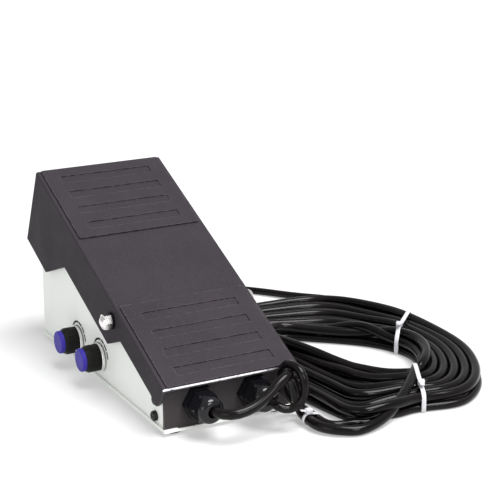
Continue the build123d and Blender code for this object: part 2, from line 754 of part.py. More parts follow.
def tie_band(centre, direction, inner_width, inner_height, head_at):
    """A cable tie as a closed strap standing on the floor, with its ratchet head."""
    strap = 1.2
    wide = 4.6
    loop = Box(wide, inner_width + 2 * strap, inner_height + 2 * strap)
    loop = fillet(loop.edges().filter_by(Axis.X), 2.2)
    hole = Box(wide * 2, inner_width, inner_height)
    loop -= fillet(hole.edges().filter_by(Axis.X), 1.2)
    head = Pos(0, head_at, inner_height / 2 + strap + 2.0) * Box(6.5, 7.5, 4.2)
    tie = Pos(0, 0, inner_height / 2 + strap) * (loop + head)
    return Pos(centre[0], centre[1], 0) * Rot(0, 0, direction) * tie


def cable_coil(ties):
    outer = make_face(Polyline(*COIL_OUTLINE, close=True))
    outer = fillet(outer.vertices(), 8.0)
    hole = make_face(Polyline(*COIL_HOLE, close=True))
    hole = fillet(hole.vertices(), 8.0)
    coil = extrude(outer - hole, COIL_HEIGHT + 1.2)
    for tie in ties:
        coil -= tie
    return coil


def plug_body(centre, cable):
    """A round metal cable connector lying on the floor along Y, with a rubber boot."""
    x, y, z = centre
    boot = Pos(x, y, z) * Rot(-90, 0, 0) * Cone(4.6, 7.0, 14, align=(Align.CENTER, Align.CENTER, Align.MIN))
    shell = rod_y(7.6, y + 14, y + 26, x, z)
    nose = rod_y(6.6, y + 26, y + PLUG_LENGTH, x, z) - rod_y(5.6, y + 36, y + PLUG_LENGTH, x, z)
    for n in range(5):
        turn = math.radians(72 * n)
        nose += rod_y(0.6, y + 35, y + 42, x + 3 * math.cos(turn), z + 3 * math.sin(turn))
    return boot + shell + nose


def plug_ring(centre):
    """The knurled coupling ring that turns on the connector's nose."""
    x, y, z = centre
    ring = rod_y(9.0, y + 27, y + 38, x, z)
    for n in range(24):
        turn = math.radians(15 * n)
        ring -= rod_y(0.5, y + 26, y + 36, x + 9.1 * math.cos(turn), z + 9.1 * math.sin(turn))
    return ring - rod_y(6.7, y + 20, y + 50, x, z)


# ---------------------------------------------------------------- all pieces


def main():
    write("base_tray", base_tray())
    write("side_panel_left", side_panel(knobs=True))
    write("side_panel_right", mirror(side_panel(knobs=False), about=Plane.XZ))
    write("toe_panel", toe_panel())
    write("heel_plate", heel_plate())
    write("rubber_feet", rubber_feet())
    write("side_screws", side_screws())
    write("side_nuts", side_nuts())

    write("pivot_bushes", pivot_bushes())
    write("pivot_shaft", pivot_shaft())
    write("pivot_washers", pivot_washers())
    write("dome_nuts", dome_nuts())

    write("treadle_plate", treadle_plate())
    write("mat_toe", mat(173.3, 262.4, 187.0))
    write("mat_heel", mat(1.5, 91.0, 15.2))

    write("mechanism_frame", mechanism_frame())
    write("frame_rivets", frame_rivets())
    write("sector_gear", sector_gear())
    write("stop_screw", stop_screw())
    write("main_pot_body", main_pot())
    write("main_pot_nut", main_pot_nut())
    write("main_pot_shaft", main_pot_shaft())
    write("pinion", pinion())
    write("spring_post", spring_post())
    write("spring_cup", spring_cup())
    write("return_spring", return_spring())
    write("microswitch_body", microswitch_body())
    write("microswitch_lever", microswitch_lever())
    write("switch_screws", switch_screws())
    write("terminal_block", terminal_block())
    write("terminal_screws", terminal_screws())

    for n, x in enumerate(KNOB_X, start=1):
        write(f"panel_pot_{n}", panel_pot(x))
        write(f"knob_{n}_shaft", knob_shaft(x))
        write(f"knob_{n}_collar", knob_collar(x))
        write(f"knob_{n}_body", knob_body(x))
        write(f"knob_{n}_cap", knob_cap(x))
    write("panel_pot_nuts", panel_pot_nuts())

    for n, (y, cable) in enumerate(zip(GLAND_Y, CABLE_D), start=1):
        write(f"gland_{n}_body", gland_body(y))
        write(f"gland_{n}_nut", gland_nut(y, cable / 2 + 0.3))
    write("gland_locknuts", gland_locknuts())
    write("gland_seals", gland_seals())

    in_place = (0, 0, 0)
    ties = [
        tie_band(TIE_1_AT, 33.0, 66.0, COIL_HEIGHT, 15.0),
        tie_band(TIE_2_AT, 66.0, 66.0, COIL_HEIGHT, 5.0),
    ]
    write("tie_1", ties[0], in_place)
    write("tie_2", ties[1], in_place)
    write("tie_3", tie_band(TIE_3_AT, 0.0, 15.8, 8.3, 2.0), in_place)
    write("cable_coil", cable_coil(ties), in_place)
    for n, (lead, tail) in enumerate(((LEAD_1, TAIL_1), (LEAD_2, TAIL_2)), start=1):
        diameter = CABLE_D[n - 1]
        mouth = (PLATE_X - 8.0 + SHIFT[0], GLAND_Y[n - 1] + SHIFT[1], GLAND_Z)
        write(f"cable_{n}_lead", cable_tube(f"lead {n}", [mouth] + lead, diameter), in_place)
        end = PLUG_AT[n - 1]
        write(f"cable_{n}_tail", cable_tube(f"tail {n}", tail + [end], diameter), in_place)
        write(f"plug_{n}_body", plug_body(end, diameter), in_place)
        write(f"plug_{n}_ring", plug_ring(end), in_place)
    print("shift", SHIFT)


main()
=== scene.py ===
"""A foot control pedal with its two cables: materials, cables and fine pieces round the CAD frame.

Everything is in metres, in the frame's own axes: +X to the toe, +Y to the knobs, +Z up.
"""

import bpy
import bmesh
import json
import math
import random
import numpy as np
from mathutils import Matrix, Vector


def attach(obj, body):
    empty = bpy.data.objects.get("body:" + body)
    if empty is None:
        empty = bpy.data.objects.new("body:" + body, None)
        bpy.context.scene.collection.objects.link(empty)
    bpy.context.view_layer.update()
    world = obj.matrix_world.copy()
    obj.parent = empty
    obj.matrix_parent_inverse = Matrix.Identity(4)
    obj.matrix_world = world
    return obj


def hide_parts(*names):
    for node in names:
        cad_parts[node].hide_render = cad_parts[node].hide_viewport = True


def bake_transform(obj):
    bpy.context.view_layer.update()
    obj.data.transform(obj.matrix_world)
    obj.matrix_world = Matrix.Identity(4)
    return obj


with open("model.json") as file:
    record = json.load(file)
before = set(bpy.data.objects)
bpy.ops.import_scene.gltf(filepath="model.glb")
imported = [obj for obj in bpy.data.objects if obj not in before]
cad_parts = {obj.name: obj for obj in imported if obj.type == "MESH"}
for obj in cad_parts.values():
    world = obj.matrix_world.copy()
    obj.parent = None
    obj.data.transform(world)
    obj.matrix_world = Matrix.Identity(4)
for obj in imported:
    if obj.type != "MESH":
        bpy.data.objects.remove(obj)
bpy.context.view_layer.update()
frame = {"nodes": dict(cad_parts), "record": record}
MM = 0.001


def mm(*values):
    """A point given in millimetres, in metres."""
    return Vector(values) * MM


# ---------------------------------------------------------------- camera

CAMERA_AT = mm(-1059.2, 486.8, 461.6)
CAMERA_TARGET = mm(134.2, -156.85, 43.0)
CAMERA_LENS = 111.6


def make_camera():
    data = bpy.data.cameras.new("camera")
    data.lens = CAMERA_LENS
    data.clip_start = 0.05
    data.clip_end = 50
    camera = bpy.data.objects.new("camera", data)
    camera.location = CAMERA_AT
    camera.rotation_mode = "QUATERNION"
    camera.rotation_quaternion = (CAMERA_TARGET - CAMERA_AT).to_track_quat("-Z", "Y")
    bpy.context.scene.collection.objects.link(camera)
    bpy.context.scene.camera = camera


make_camera()

# ---------------------------------------------------------------- materials

EDGE_SAMPLES = 6
EDGE_COSINES = (0.995, 0.88)  # from flat to edge, between the true and the rounded normal
EDGE_WIDTH = 0.7 * MM
CLOUD_CELLS = 14.0  # of noise per metre, for the slow changes of colour
PATCH_CELLS = 37.8  # and of roughness
GRAIN_CELLS = 1300.0
# Cells of the patchy mask along the lighter edges, which are partly wear and partly painted highlight.
EDGE_WEAR_SHEEN_CELLS = 190.0
# Cells of the patches in the painted highlight along the heel's cut edge.
HEEL_HIGHLIGHT_CELLS = 160.0
# The colour of the painted highlight along the treadle's heel edge.
HEEL_EDGE_HIGHLIGHT = (0.72, 0.71, 0.74)


class Shader:
    """A small builder for one node-based material."""

    def __init__(self, name):
        self.material = bpy.data.materials.new(name)
        self.material.use_nodes = True
        self.tree = self.material.node_tree
        self.bsdf = self.tree.nodes["Principled BSDF"]
        self.place = self.node("ShaderNodeTexCoord").outputs["Object"]

    @classmethod
    def of(cls, material):
        """The builder of a material that was made before."""
        shader = cls.__new__(cls)
        shader.material = material
        shader.tree = material.node_tree
        shader.bsdf = shader.tree.nodes["Principled BSDF"]
        shader.place = shader.node("ShaderNodeTexCoord").outputs["Object"]
        return shader

    def node(self, kind, **settings):
        made = self.tree.nodes.new(kind)
        for key, value in settings.items():
            setattr(made, key, value)
        return made

    def link(self, source, target):
        self.tree.links.new(source, target)

    def set(self, **values):
        """Values on the shader's own sockets; an underscore stands for a space."""
        for key, value in values.items():
            self.bsdf.inputs[key.replace("_", " ")].default_value = value

    def noise(self, scale, detail, roughness):
        """A noise of that many cells per metre."""
        noise = self.node("ShaderNodeTexNoise")
        noise.inputs["Scale"].default_value = scale
        noise.inputs["Detail"].default_value = detail
        noise.inputs["Roughness"].default_value = roughness
        self.link(self.place, noise.inputs["Vector"])
        return noise.outputs["Fac"]

    def spread(self, value, low, high, to_low=0.0, to_high=1.0):
        """A value from low to high turned into one from to_low to to_high."""
        ramp = self.node("ShaderNodeMapRange")
        ramp.inputs["From Min"].default_value = low
        ramp.inputs["From Max"].default_value = high
        ramp.inputs["To Min"].default_value = to_low
        ramp.inputs["To Max"].default_value = to_high
        self.link(value, ramp.inputs["Value"])
        return ramp.outputs["Result"]

    def mix(self, fac, first, second):
        """A colour between two, which are colours or outputs."""
        mix = self.node("ShaderNodeMix", data_type="RGBA")
        self.link(fac, mix.inputs["Factor"])
        for value, socket in ((first, mix.inputs["A"]), (second, mix.inputs["B"])):
            colour = [s for s in mix.inputs if s.name == socket.name and s.type == "RGBA"][0]
            if isinstance(value, bpy.types.NodeSocket):
                self.link(value, colour)
            else:
                colour.default_value = (*value, 1.0)
        return [s for s in mix.outputs if s.type == "RGBA"][0]

    def times(self, first, second):
        product = self.node("ShaderNodeMath", operation="MULTIPLY")
        self.link(first, product.inputs[0])
        self.link(second, product.inputs[1])
        return product.outputs["Value"]

    def edges(self, radius):
        """1 along the sharp edges, 0 where the surface is flat for that far round."""
        bevel = self.node("ShaderNodeBevel", samples=EDGE_SAMPLES)
        bevel.inputs["Radius"].default_value = radius
        flat = self.node("ShaderNodeNewGeometry")
        dot = self.node("ShaderNodeVectorMath", operation="DOT_PRODUCT")
        self.link(bevel.outputs["Normal"], dot.inputs[0])
        self.link(flat.outputs["Normal"], dot.inputs[1])
        return self.spread(dot.outputs["Value"], *EDGE_COSINES)

    def bump(self, height, distance):
        bump = self.node("ShaderNodeBump")
        bump.inputs["Strength"].default_value = 1.0
        bump.inputs["Distance"].default_value = distance
        self.link(height, bump.inputs["Height"])
        self.link(bump.outputs["Normal"], self.bsdf.inputs["Normal"])


def grained(name, dark, light, rough, grain, bump, metallic=0.0, spread=0.06, speck=0.0, edge_wear_and_sheen=None, **more):
    """A finish with slow colour variation, uneven roughness and a fine surface grain.

    grain is its cells per metre and bump their height; spread is how far the roughness varies;
    speck lightens scattered grains by that share; the edge colour is laid along the sharp edges, partly as
    rubbed wear and partly as a painted highlight.
    """
    shader = Shader(name)
    cloud = shader.spread(shader.noise(CLOUD_CELLS, detail=4.0, roughness=0.6), 0.35, 0.65)
    colour = shader.mix(cloud, dark, light)
    if speck:
        grains = shader.spread(shader.noise(GRAIN_CELLS, detail=2.0, roughness=0.7), 0.5, 0.72)
        colour = shader.mix(grains, colour, tuple(c * (1 + speck) for c in light))
    # Lighter along the sharp edges: partly rubbed wear, partly a painted edge highlight.
    if edge_wear_and_sheen:
        edge_sheen = shader.noise(EDGE_WEAR_SHEEN_CELLS, detail=3.0, roughness=0.6)
        edge_sheen = shader.spread(edge_sheen, 0.42, 0.56, to_low=0.15)
        colour = shader.mix(shader.times(shader.edges(EDGE_WIDTH), edge_sheen), colour, edge_wear_and_sheen)
    shader.link(colour, shader.bsdf.inputs["Base Color"])
    uneven = shader.noise(PATCH_CELLS, detail=5.0, roughness=0.65)
    uneven = shader.spread(uneven, 0.3, 0.7, rough - spread, rough + spread)
    shader.link(uneven, shader.bsdf.inputs["Roughness"])
    shader.bump(shader.noise(grain, detail=3.0, roughness=0.6), bump)
    shader.set(Metallic=metallic, **more)
    return shader.material


def treadle_finish():
    """Powder coat, with a painted highlight along the top of the cut edge at the heel, fading out towards
    -Y.
    """
    material = grained(
        "treadle_powder_coat",
        (0.027, 0.0235, 0.028),
        (0.035, 0.030, 0.0355),
        rough=0.55,
        grain=1500,
        bump=0.08 * MM,
        speck=0.45,
        # Edge colour: partly rubbed wear, partly a painted edge highlight.
        edge_wear_and_sheen=(0.20, 0.19, 0.20),
        Specular_IOR_Level=0.06,
    )
    shader = Shader.of(material)
    at = shader.node("ShaderNodeSeparateXYZ")
    shader.link(shader.place, at.inputs["Vector"])
    # Painted highlight: a thin, patchy bright line on the top of the heel's cut edge, fading out towards -Y.
    edge_sheen = shader.spread(shader.noise(HEEL_HIGHLIGHT_CELLS, detail=3.0, roughness=0.6), 0.32, 0.42)
    for axis, low, high in (("X", -0.1245, -0.1252), ("Y", -0.040, -0.022), ("Z", 0.0383, 0.0386)):
        edge_sheen = shader.times(edge_sheen, shader.spread(at.outputs[axis], low, high))
    socket = shader.bsdf.inputs["Base Color"]
    shader.link(shader.mix(edge_sheen, socket.links[0].from_socket, HEEL_EDGE_HIGHLIGHT), socket)
    return material


def make_materials():
    """The material of each slot in the record."""
    return {
        "base_paint": grained(
            "white_powder_coat",
            (0.80, 0.825, 0.79),
            (0.84, 0.862, 0.83),
            rough=0.42,
            grain=1300,
            bump=0.06 * MM,
            Specular_IOR_Level=0.3,
        ),
        "heel_paint": grained(
            "heel_powder_coat",
            (0.034, 0.030, 0.032),
            (0.042, 0.037, 0.039),
            rough=0.5,
            grain=1500,
            bump=0.08 * MM,
            speck=0.45,
            # Edge colour: partly rubbed wear, partly a painted edge highlight.
            edge_wear_and_sheen=(0.16, 0.15, 0.16),
            Specular_IOR_Level=0.1,
        ),
        "treadle_paint": treadle_finish(),
        "mat_rubber": grained(
            "mat_rubber",
            (0.027, 0.0235, 0.028),
            (0.035, 0.030, 0.0355),
            rough=0.6,
            grain=1100,
            bump=0.1 * MM,
            speck=0.45,
            # Edge colour: partly rubbed wear, partly a painted edge highlight.
            edge_wear_and_sheen=(0.11, 0.10, 0.11),
            Specular_IOR_Level=0.06,
        ),
        "foot_rubber": grained(
            "foot_rubber",
            (0.012, 0.012, 0.012),
            (0.02, 0.02, 0.02),
            rough=0.8,
            grain=900,
            bump=0.1 * MM,
        ),
        "black_screw": grained(
            "black_oxide",
            (0.010, 0.010, 0.011),
            (0.022, 0.021, 0.022),
            rough=0.36,
            grain=900,
            bump=0.03 * MM,
            metallic=0.6,
        ),
        "zinc_steel": grained(
            "zinc_plate",
            (0.46, 0.47, 0.48),
            (0.62, 0.61, 0.57),
            rough=0.34,
            grain=700,
            bump=0.03 * MM,
            metallic=1.0,
        ),
        "chrome_nut": grained(
            "bright_nickel",
            (0.84, 0.81, 0.81),
            (0.92, 0.89, 0.89),
            rough=0.2,
            grain=500,
            bump=0.01 * MM,
            metallic=1.0,
            spread=0.04,
        ),
        "washer_black": grained(
            "black_washer",
            (0.003, 0.003, 0.003),
            (0.005, 0.005, 0.005),
            rough=0.55,
            grain=900,
            bump=0.03 * MM,
            Specular_IOR_Level=0.1,
        ),
        "bush_nylon": grained(
            "bush_nylon",
            (0.74, 0.73, 0.68),
            (0.80, 0.79, 0.75),
            rough=0.45,
            grain=800,
            bump=0.03 * MM,
        ),
        "gear_steel": grained(
            "gear_steel",
            (0.40, 0.41, 0.43),
            (0.52, 0.52, 0.53),
            rough=0.38,
            grain=900,
            bump=0.03 * MM,
            metallic=1.0,
        ),
        "gear_nylon": grained(
            "gear_nylon",
            (0.76, 0.74, 0.66),
            (0.82, 0.80, 0.73),
            rough=0.45,
            grain=800,
            bump=0.02 * MM,
        ),
        "pot_metal": grained(
            "pot_can",
            (0.58, 0.58, 0.58),
            (0.70, 0.70, 0.69),
            rough=0.32,
            grain=900,
            bump=0.02 * MM,
            metallic=1.0,
        ),
        "pot_shaft": grained(
            "pot_shaft",
            (0.62, 0.62, 0.63),
            (0.74, 0.74, 0.74),
            rough=0.28,
            grain=900,
            bump=0.02 * MM,
            metallic=1.0,
        ),
        "spring_steel": grained(
            "spring_steel",
            (0.30, 0.30, 0.32),
            (0.42, 0.42, 0.43),
            rough=0.3,
            grain=900,
            bump=0.02 * MM,
            metallic=1.0,
        ),
        "switch_plastic": grained(
            "switch_plastic",
            (0.012, 0.012, 0.014),
            (0.02, 0.02, 0.022),
            rough=0.45,
            grain=900,
            bump=0.04 * MM,
        ),
        "terminal_plastic": grained(
            "terminal_plastic",
            (0.58, 0.55, 0.44),
            (0.66, 0.63, 0.52),
            rough=0.5,
            grain=900,
            bump=0.04 * MM,
        ),
        "terminal_brass": grained(
            "terminal_brass",
            (0.56, 0.40, 0.17),
            (0.68, 0.51, 0.25),
            rough=0.32,
            grain=900,
            bump=0.02 * MM,
            metallic=1.0,
        ),
        "collar_grey": grained(
            "collar_grey",
            (0.74, 0.74, 0.73),
            (0.84, 0.84, 0.83),
            rough=0.16,
            grain=900,
            bump=0.01 * MM,
            metallic=1.0,
            spread=0.04,
        ),
        "knob_black": grained(
            "knob_black",
            (0.004, 0.004, 0.004),
            (0.008, 0.008, 0.0075),
            rough=0.42,
            grain=1400,
            bump=0.04 * MM,
            Specular_IOR_Level=0.15,
        ),
        "knob_blue": grained(
            "knob_blue",
            (0.034, 0.024, 0.25),
            (0.046, 0.034, 0.31),
            rough=0.38,
            grain=1200,
            bump=0.02 * MM,
            Specular_IOR_Level=0.08,
        ),
        "gland_nylon": grained(
            "gland_nylon",
            (0.003, 0.003, 0.004),
            (0.006, 0.006, 0.008),
            rough=0.14,
            grain=900,
            bump=0.01 * MM,
            spread=0.04,
            Specular_IOR_Level=0.35,
        ),
        "seal_rubber": grained(
            "seal_rubber",
            (0.010, 0.010, 0.010),
            (0.014, 0.014, 0.014),
            rough=0.6,
            grain=900,
            bump=0.03 * MM,
        ),
        "cable_black": grained(
            "cable_sheath",
            (0.001, 0.0008, 0.0008),
            (0.006, 0.0046, 0.0046),
            rough=0.2,
            grain=700,
            bump=0.02 * MM,
            spread=0.05,
            Specular_IOR_Level=0.17,
        ),
        "tie_nylon": grained(
            "tie_nylon",
            (0.52, 0.51, 0.54),
            (0.62, 0.61, 0.64),
            rough=0.35,
            grain=800,
            bump=0.03 * MM,
        ),
        "plug_metal": grained(
            "plug_nickel",
            (0.58, 0.58, 0.60),
            (0.70, 0.70, 0.71),
            rough=0.24,
            grain=800,
            bump=0.02 * MM,
            metallic=1.0,
        ),
    }


MATERIALS = make_materials()

# ---------------------------------------------------------------- cables

CABLE_D = (8.0 * MM, 6.5 * MM)

# The points of each lead, from inside its gland, and of each tail, to its plug, in millimetres.
# They are those of the CAD source.
LEADS = (
    [
        (-127.2, 22.4, 22.5),
        (-154.0, 22.4, 22.5),
        (-156.0, -6.0, 24.5),
        (-150.0, -36.0, 46.0),
        (-143.0, -43.0, 33.0),
        (-137.5, -51.5, 9.5),
        (-146.5, -51.6, 5.3),
        (-169.0, -51.6, 5.3),
    ],
    [
        (-127.2, -22.6, 22.5),
        (-151.0, -22.6, 22.5),
        (-154.5, -34.0, 16.5),
        (-159.0, -45.5, 26.0),
        (-155.0, -44.5, 47.0),
        (-134.0, -40.0, 48.0),
        (-129.0, -40.0, 24.0),
        (-129.0, -55.0, 8.0),
        (-142.0, -59.5, 4.6),
        (-169.0, -59.5, 4.6),
    ],
)
TAILS = (
    [
        (84.0, -110.0, 4.0),
        (108.0, -98.0, 4.0),
        (132.0, -97.0, 5.5),
        (152.0, -88.0, 9.0),
        (152.0, -70.0, 9.0),
    ],
    [
        (72.0, -205.0, 7.0),
        (100.0, -186.0, 4.0),
        (132.0, -163.0, 3.3),
        (158.0, -136.0, 3.3),
        (172.0, -112.0, 5.5),
        (174.0, -90.0, 9.0),
        (174.0, -70.0, 9.0),
    ],
)

# The coil's outer and inner edge at stations round it, in the way the cables run
COIL_EDGES = [
    ((-188, -68), (-90, -134)),
    ((-191, -98), (-108, -146)),
    ((-182, -136), (-122, -160)),
    ((-177, -176), (-118, -170)),
    ((-148, -212), (-98, -185)),
    ((-90, -237), (-74, -192)),
    ((-16, -241), (-52, -187)),
    ((30, -233), (-34, -176)),
    ((80, -207), (-18, -160)),
    ((93, -160), (-6, -146)),
    ((86, -90), (12, -122)),
    ((32, -63), (-8, -98)),
    ((-58, -64), (-60, -116)),
    ((-138, -65), (-80, -128)),
]
STEPS = 3  # points of the cable for each station
LAPS = 6
COIL_END = (9 * STEPS + 1, 7 * STEPS + 1)  # where on the last lap each cable leaves
# How each cable first crosses over the coil to its inner side: share of the width, height
CROSSING = (
    [
        (0.05, 4.1),
        (0.1, 4.3),
        (0.14, 5.2),
        (0.2, 7.5),
        (0.31, 11.5),
        (0.51, 14.3),
        (0.78, 15.5),
        (0.93, 15.5),
        (0.97, 14.5),
    ],
    [
        (0.2, 3.3),
        (0.2, 3.3),
        (0.24, 3.3),
        (0.31, 3.3),
        (0.42, 3.6),
        (0.6, 4.8),
        (0.78, 6.2),
        (0.88, 6.6),
        (0.92, 6.4),
    ],
)
INNER_LAP = 0.9  # laps that each cable keeps to the inner edge

# How the turns wander before they settle
COIL_SEED = 7
WAVES = 4
WAVE_PHASE = 6.28  # a whole turn, in radians
WAVES_A_LAP = (1.2, 2.6)
WAVE_SHARE = (0.01, 0.03)  # of the coil's width
SECOND_OUTWARD = 0.04  # how far the second cable keeps outward, as a share
CROSSING_ROOM = 18.0  # what the crossing takes from the outer edge beside it, in millimetres
CROSSING_FADE = 3.5  # and how fast that shrinks from point to point
DROP_FROM = 2.0  # how far above the floor a turn starts, in millimetres
DROP_SPREAD = 1.5

# How they settle on each other, in each round
SETTLE_ROUNDS = 420
PUSH_ONLY = 0.85  # after this share of the rounds they only push each other apart
SMOOTH_ACROSS = 0.35
SMOOTH_HEIGHT = 0.45
PULL = 0.015  # share of the way back to its own place
FALL = 0.12
GAP = 0.15
TOP_STEP = 0.5  # what a crossing cable is taken to lie above the others where it doesn't yet
PUSH_FREE = 0.8  # of half an overlap, moved by each of two free cables; twice that beside a held one
SMOOTH_ROUNDS = 3
OVER = 9.0  # a crossing cable higher than this lies on top of the others


def coil_frame():
    """Outer point, direction inward, width and skew at each point round the coil."""
    count = len(COIL_EDGES)
    outer, inner = [], []
    for k in range(count * STEPS):
        n, t = divmod(k, STEPS)
        t /= STEPS
        for edge, target in ((0, outer), (1, inner)):
            p = [np.array(COIL_EDGES[(n + i) % count][edge], float) for i in (-1, 0, 1, 2)]
            bend = 2 * p[0] - 5 * p[1] + 4 * p[2] - p[3]
            turn = 3 * p[1] - p[0] - 3 * p[2] + p[3]
            target.append(p[1] + 0.5 * t * ((p[2] - p[0]) + t * (bend + t * turn)))
    outer, inner = np.array(outer), np.array(inner)
    width = np.linalg.norm(inner - outer, axis=1)
    inward = (inner - outer) / width[:, None]
    middle = (outer + inner) / 2
    run = np.roll(middle, -1, axis=0) - np.roll(middle, 1, axis=0)
    run /= np.linalg.norm(run, axis=1)[:, None]
    skew = np.abs(inward[:, 0] * run[:, 1] - inward[:, 1] * run[:, 0])
    return outer, inward, width, skew


def start_places(width):
    """Each point's place across the coil, height, radius, station, whether it is held, and cable."""
    around = len(width)
    dice = random.Random(COIL_SEED)
    rows = []
    for cable, crossing in enumerate(CROSSING):
        r = CABLE_D[cable] / MM / 2
        total = LAPS * around + COIL_END[cable]
        start = len(crossing) + INNER_LAP * around
        waves = [
            (dice.uniform(0, WAVE_PHASE), dice.uniform(*WAVES_A_LAP), dice.uniform(*WAVE_SHARE))
            for _ in range(WAVES)
        ]
        for n in range(total + 1):
            k = n % around
            held = n < len(crossing)
            if held:
                u, z = crossing[n][0] * width[k], crossing[n][1]
            else:
                share = 1 - max(n - start, 0) / (total - start)
                share += sum(a * math.sin(p + f * n / around * WAVE_PHASE) for p, f, a in waves)
                share -= SECOND_OUTWARD * cable
                away = max(k - len(crossing) + 4, 0) if k < around / 2 else around - k
                taken = max(CROSSING_ROOM - CROSSING_FADE * away, 0.0)
                u = taken + min(max(share, 0.0), 1.0) * (width[k] - taken)
                z = r + DROP_FROM + dice.uniform(0, DROP_SPREAD)
            rows.append((min(max(u, r), width[k] - r), z, r, k, held, cable))
    return [np.array(column) for column in zip(*rows)]


def smoothed(line, rest, inside, share):
    """Moves each free point of line towards its neighbours, measured from rest."""
    off = line - rest
    line[inside] += share * ((off[inside - 1] + off[inside + 1]) / 2 - off[inside])


def pushed_apart(across, height, pairs):
    """Moves the points of cables that overlap at the same station away from each other."""
    a, b, reach, slant, share_a, share_b, on_top, below = pairs
    dx = (across[b] - across[a]) * slant
    dz = height[b] - height[a]
    dz = np.where(on_top & (dz < 0), TOP_STEP, np.where(below & (dz > 0), -TOP_STEP, dz))
    far = np.sqrt(dx * dx + dz * dz) + 1e-6
    push = np.maximum(reach - far, 0) * 0.5
    np.add.at(across, a, -push * dx / far / slant * share_a)
    np.add.at(across, b, push * dx / far / slant * share_b)
    np.add.at(height, a, -push * dz / far * share_a)
    np.add.at(height, b, push * dz / far * share_b)


def settled_coil():
    """The points of both cables round the coil, laid as turns and settled on each other."""
    outer, inward, width, skew = coil_frame()
    across, height, radius, station, held, cable_of = start_places(width)
    aim, level = across.copy(), np.zeros(len(height))
    over = held & (height > OVER)
    a, b = np.nonzero(np.triu(station[:, None] == station[None], 1))
    share_a = np.where(held[a], 0.0, np.where(held[b], 2 * PUSH_FREE, PUSH_FREE))
    share_b = np.where(held[b], 0.0, np.where(held[a], 2 * PUSH_FREE, PUSH_FREE))
    pairs = (a, b, radius[a] + radius[b] + GAP, skew[station[a]], share_a, share_b, over[b], over[a])
    inside = np.nonzero((cable_of[:-2] == cable_of[2:]) & ~held[1:-1])[0] + 1
    free = (~held).astype(float)
    for step in range(SETTLE_ROUNDS):
        if step <= SETTLE_ROUNDS * PUSH_ONLY:
            smoothed(across, aim, inside, SMOOTH_ACROSS)
            smoothed(height, level, inside, SMOOTH_HEIGHT)
            across += PULL * (aim - across) * free
            height -= FALL * free
        pushed_apart(across, height, pairs)
        across = np.clip(across, radius, width[station] - radius)
        height = np.maximum(height, radius)
    for _ in range(SMOOTH_ROUNDS):
        smoothed(across, aim, inside, 0.5)
        smoothed(height, level, inside, 0.5)
    places = outer[station] + inward[station] * across[:, None]
    return [
        [(x, y, z) for (x, y), z in zip(places[cable_of == c], height[cable_of == c])] for c in (0, 1)
    ]


def nurbs(name, points, diameter):
    """A round cord along one open NURBS spline through control points in millimetres."""
    data = bpy.data.curves.new(name, "CURVE")
    data.dimensions = "3D"
    data.resolution_u = 5
    data.bevel_depth = diameter / 2
    data.bevel_resolution = 4
    data.use_fill_caps = True
    spline = data.splines.new("NURBS")
    spline.points.add(len(points) - 1)
    for target, point in zip(spline.points, points):
        target.co = (*(Vector(point) * MM), 1.0)
    spline.order_u = 3
    spline.use_endpoint_u = True
    piece = bpy.data.objects.new(name, data)
    bpy.context.scene.collection.objects.link(piece)
    return piece


ROUTES = [LEADS[n] + coil + TAILS[n] for n, coil in enumerate(settled_coil())]


def add_cables():
    """Both cables; the first also stands for the coil, which is one CAD solid."""
    made = []
    for n, route in enumerate(ROUTES):
        name = f"cable_{n + 1}"
        piece = nurbs(name, route, CABLE_D[n])
        piece.data.materials.append(MATERIALS["cable_black"])
        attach(piece, "base")
        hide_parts(f"{name}_lead", f"{name}_tail")
        made.append(piece)
    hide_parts("cable_coil")
    return made


CABLES = add_cables()

# ---------------------------------------------------------------- mesh help

SHARP_ANGLE = 35.0


def add_mesh(name, build, material, body="base"):
    """A piece whose mesh is what build(bm) makes, in millimetres."""
    bm = bmesh.new()
    build(bm)
    bmesh.ops.scale(bm, vec=(MM, MM, MM), verts=bm.verts)
    bmesh.ops.recalc_face_normals(bm, faces=bm.faces)
    data = bpy.data.meshes.new(name)
    bm.to_mesh(data)
    bm.free()
    piece = bpy.data.objects.new(name, data)
    bpy.context.scene.collection.objects.link(piece)
    data.materials.append(MATERIALS[material])
    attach(piece, body)
    return piece


def ribbon(bm, sections, closed):
    """Quads along a row of sections, each a list of as many corners."""
    rows = [[bm.verts.new(corner) for corner in section] for section in sections]
    pairs = list(zip(rows, rows[1:]))
    if closed:
        pairs.append((rows[-1], rows[0]))
    for first, second in pairs:
        for i in range(len(first)):
            j = (i + 1) % len(first)
            bm.faces.new((first[i], first[j], second[j], second[i]))
    if not closed:
        bm.faces.new(rows[0])
        bm.faces.new(rows[-1])


def soften(piece, width):
    """Rounds the sharp edges of a piece and shades it smooth."""
    bevel = piece.modifiers.new("edges", "BEVEL")
    bevel.width = width
    bevel.segments = 2
    bevel.limit_method = "ANGLE"
    bevel.angle_limit = math.radians(SHARP_ANGLE)
    for face in piece.data.polygons:
        face.use_smooth = True


# ---------------------------------------------------------------- cable ties

STRAP_THICK = 1.1
STRAP_STEP = 1.3
STRAP_SMOOTH_ROUNDS = 3
RIM_POINTS = 32
LEAST_SLANT = 0.6  # a cable that runs along the tie isn't drawn longer than this allows
HEAD_LIFT = 1.9
HEAD_ABOVE = 0.35  # the head sits where the strap faces up at least this much
# The head's sections along the strap: place, thickness, how much wider than the strap
HEAD_SHAPE = ((-3.0, 3.0, 0.8), (-2.5, 4.0, 1.6), (1.6, 4.2, 1.8), (2.4, 3.4, 1.2))
# The cut end's sections: place along the strap, lift and thickness
END_SHAPE = ((-1.0, 0.6, 1.0), (-4.6, 0.9, 1.0), (-7.5, 1.6, 1.0))
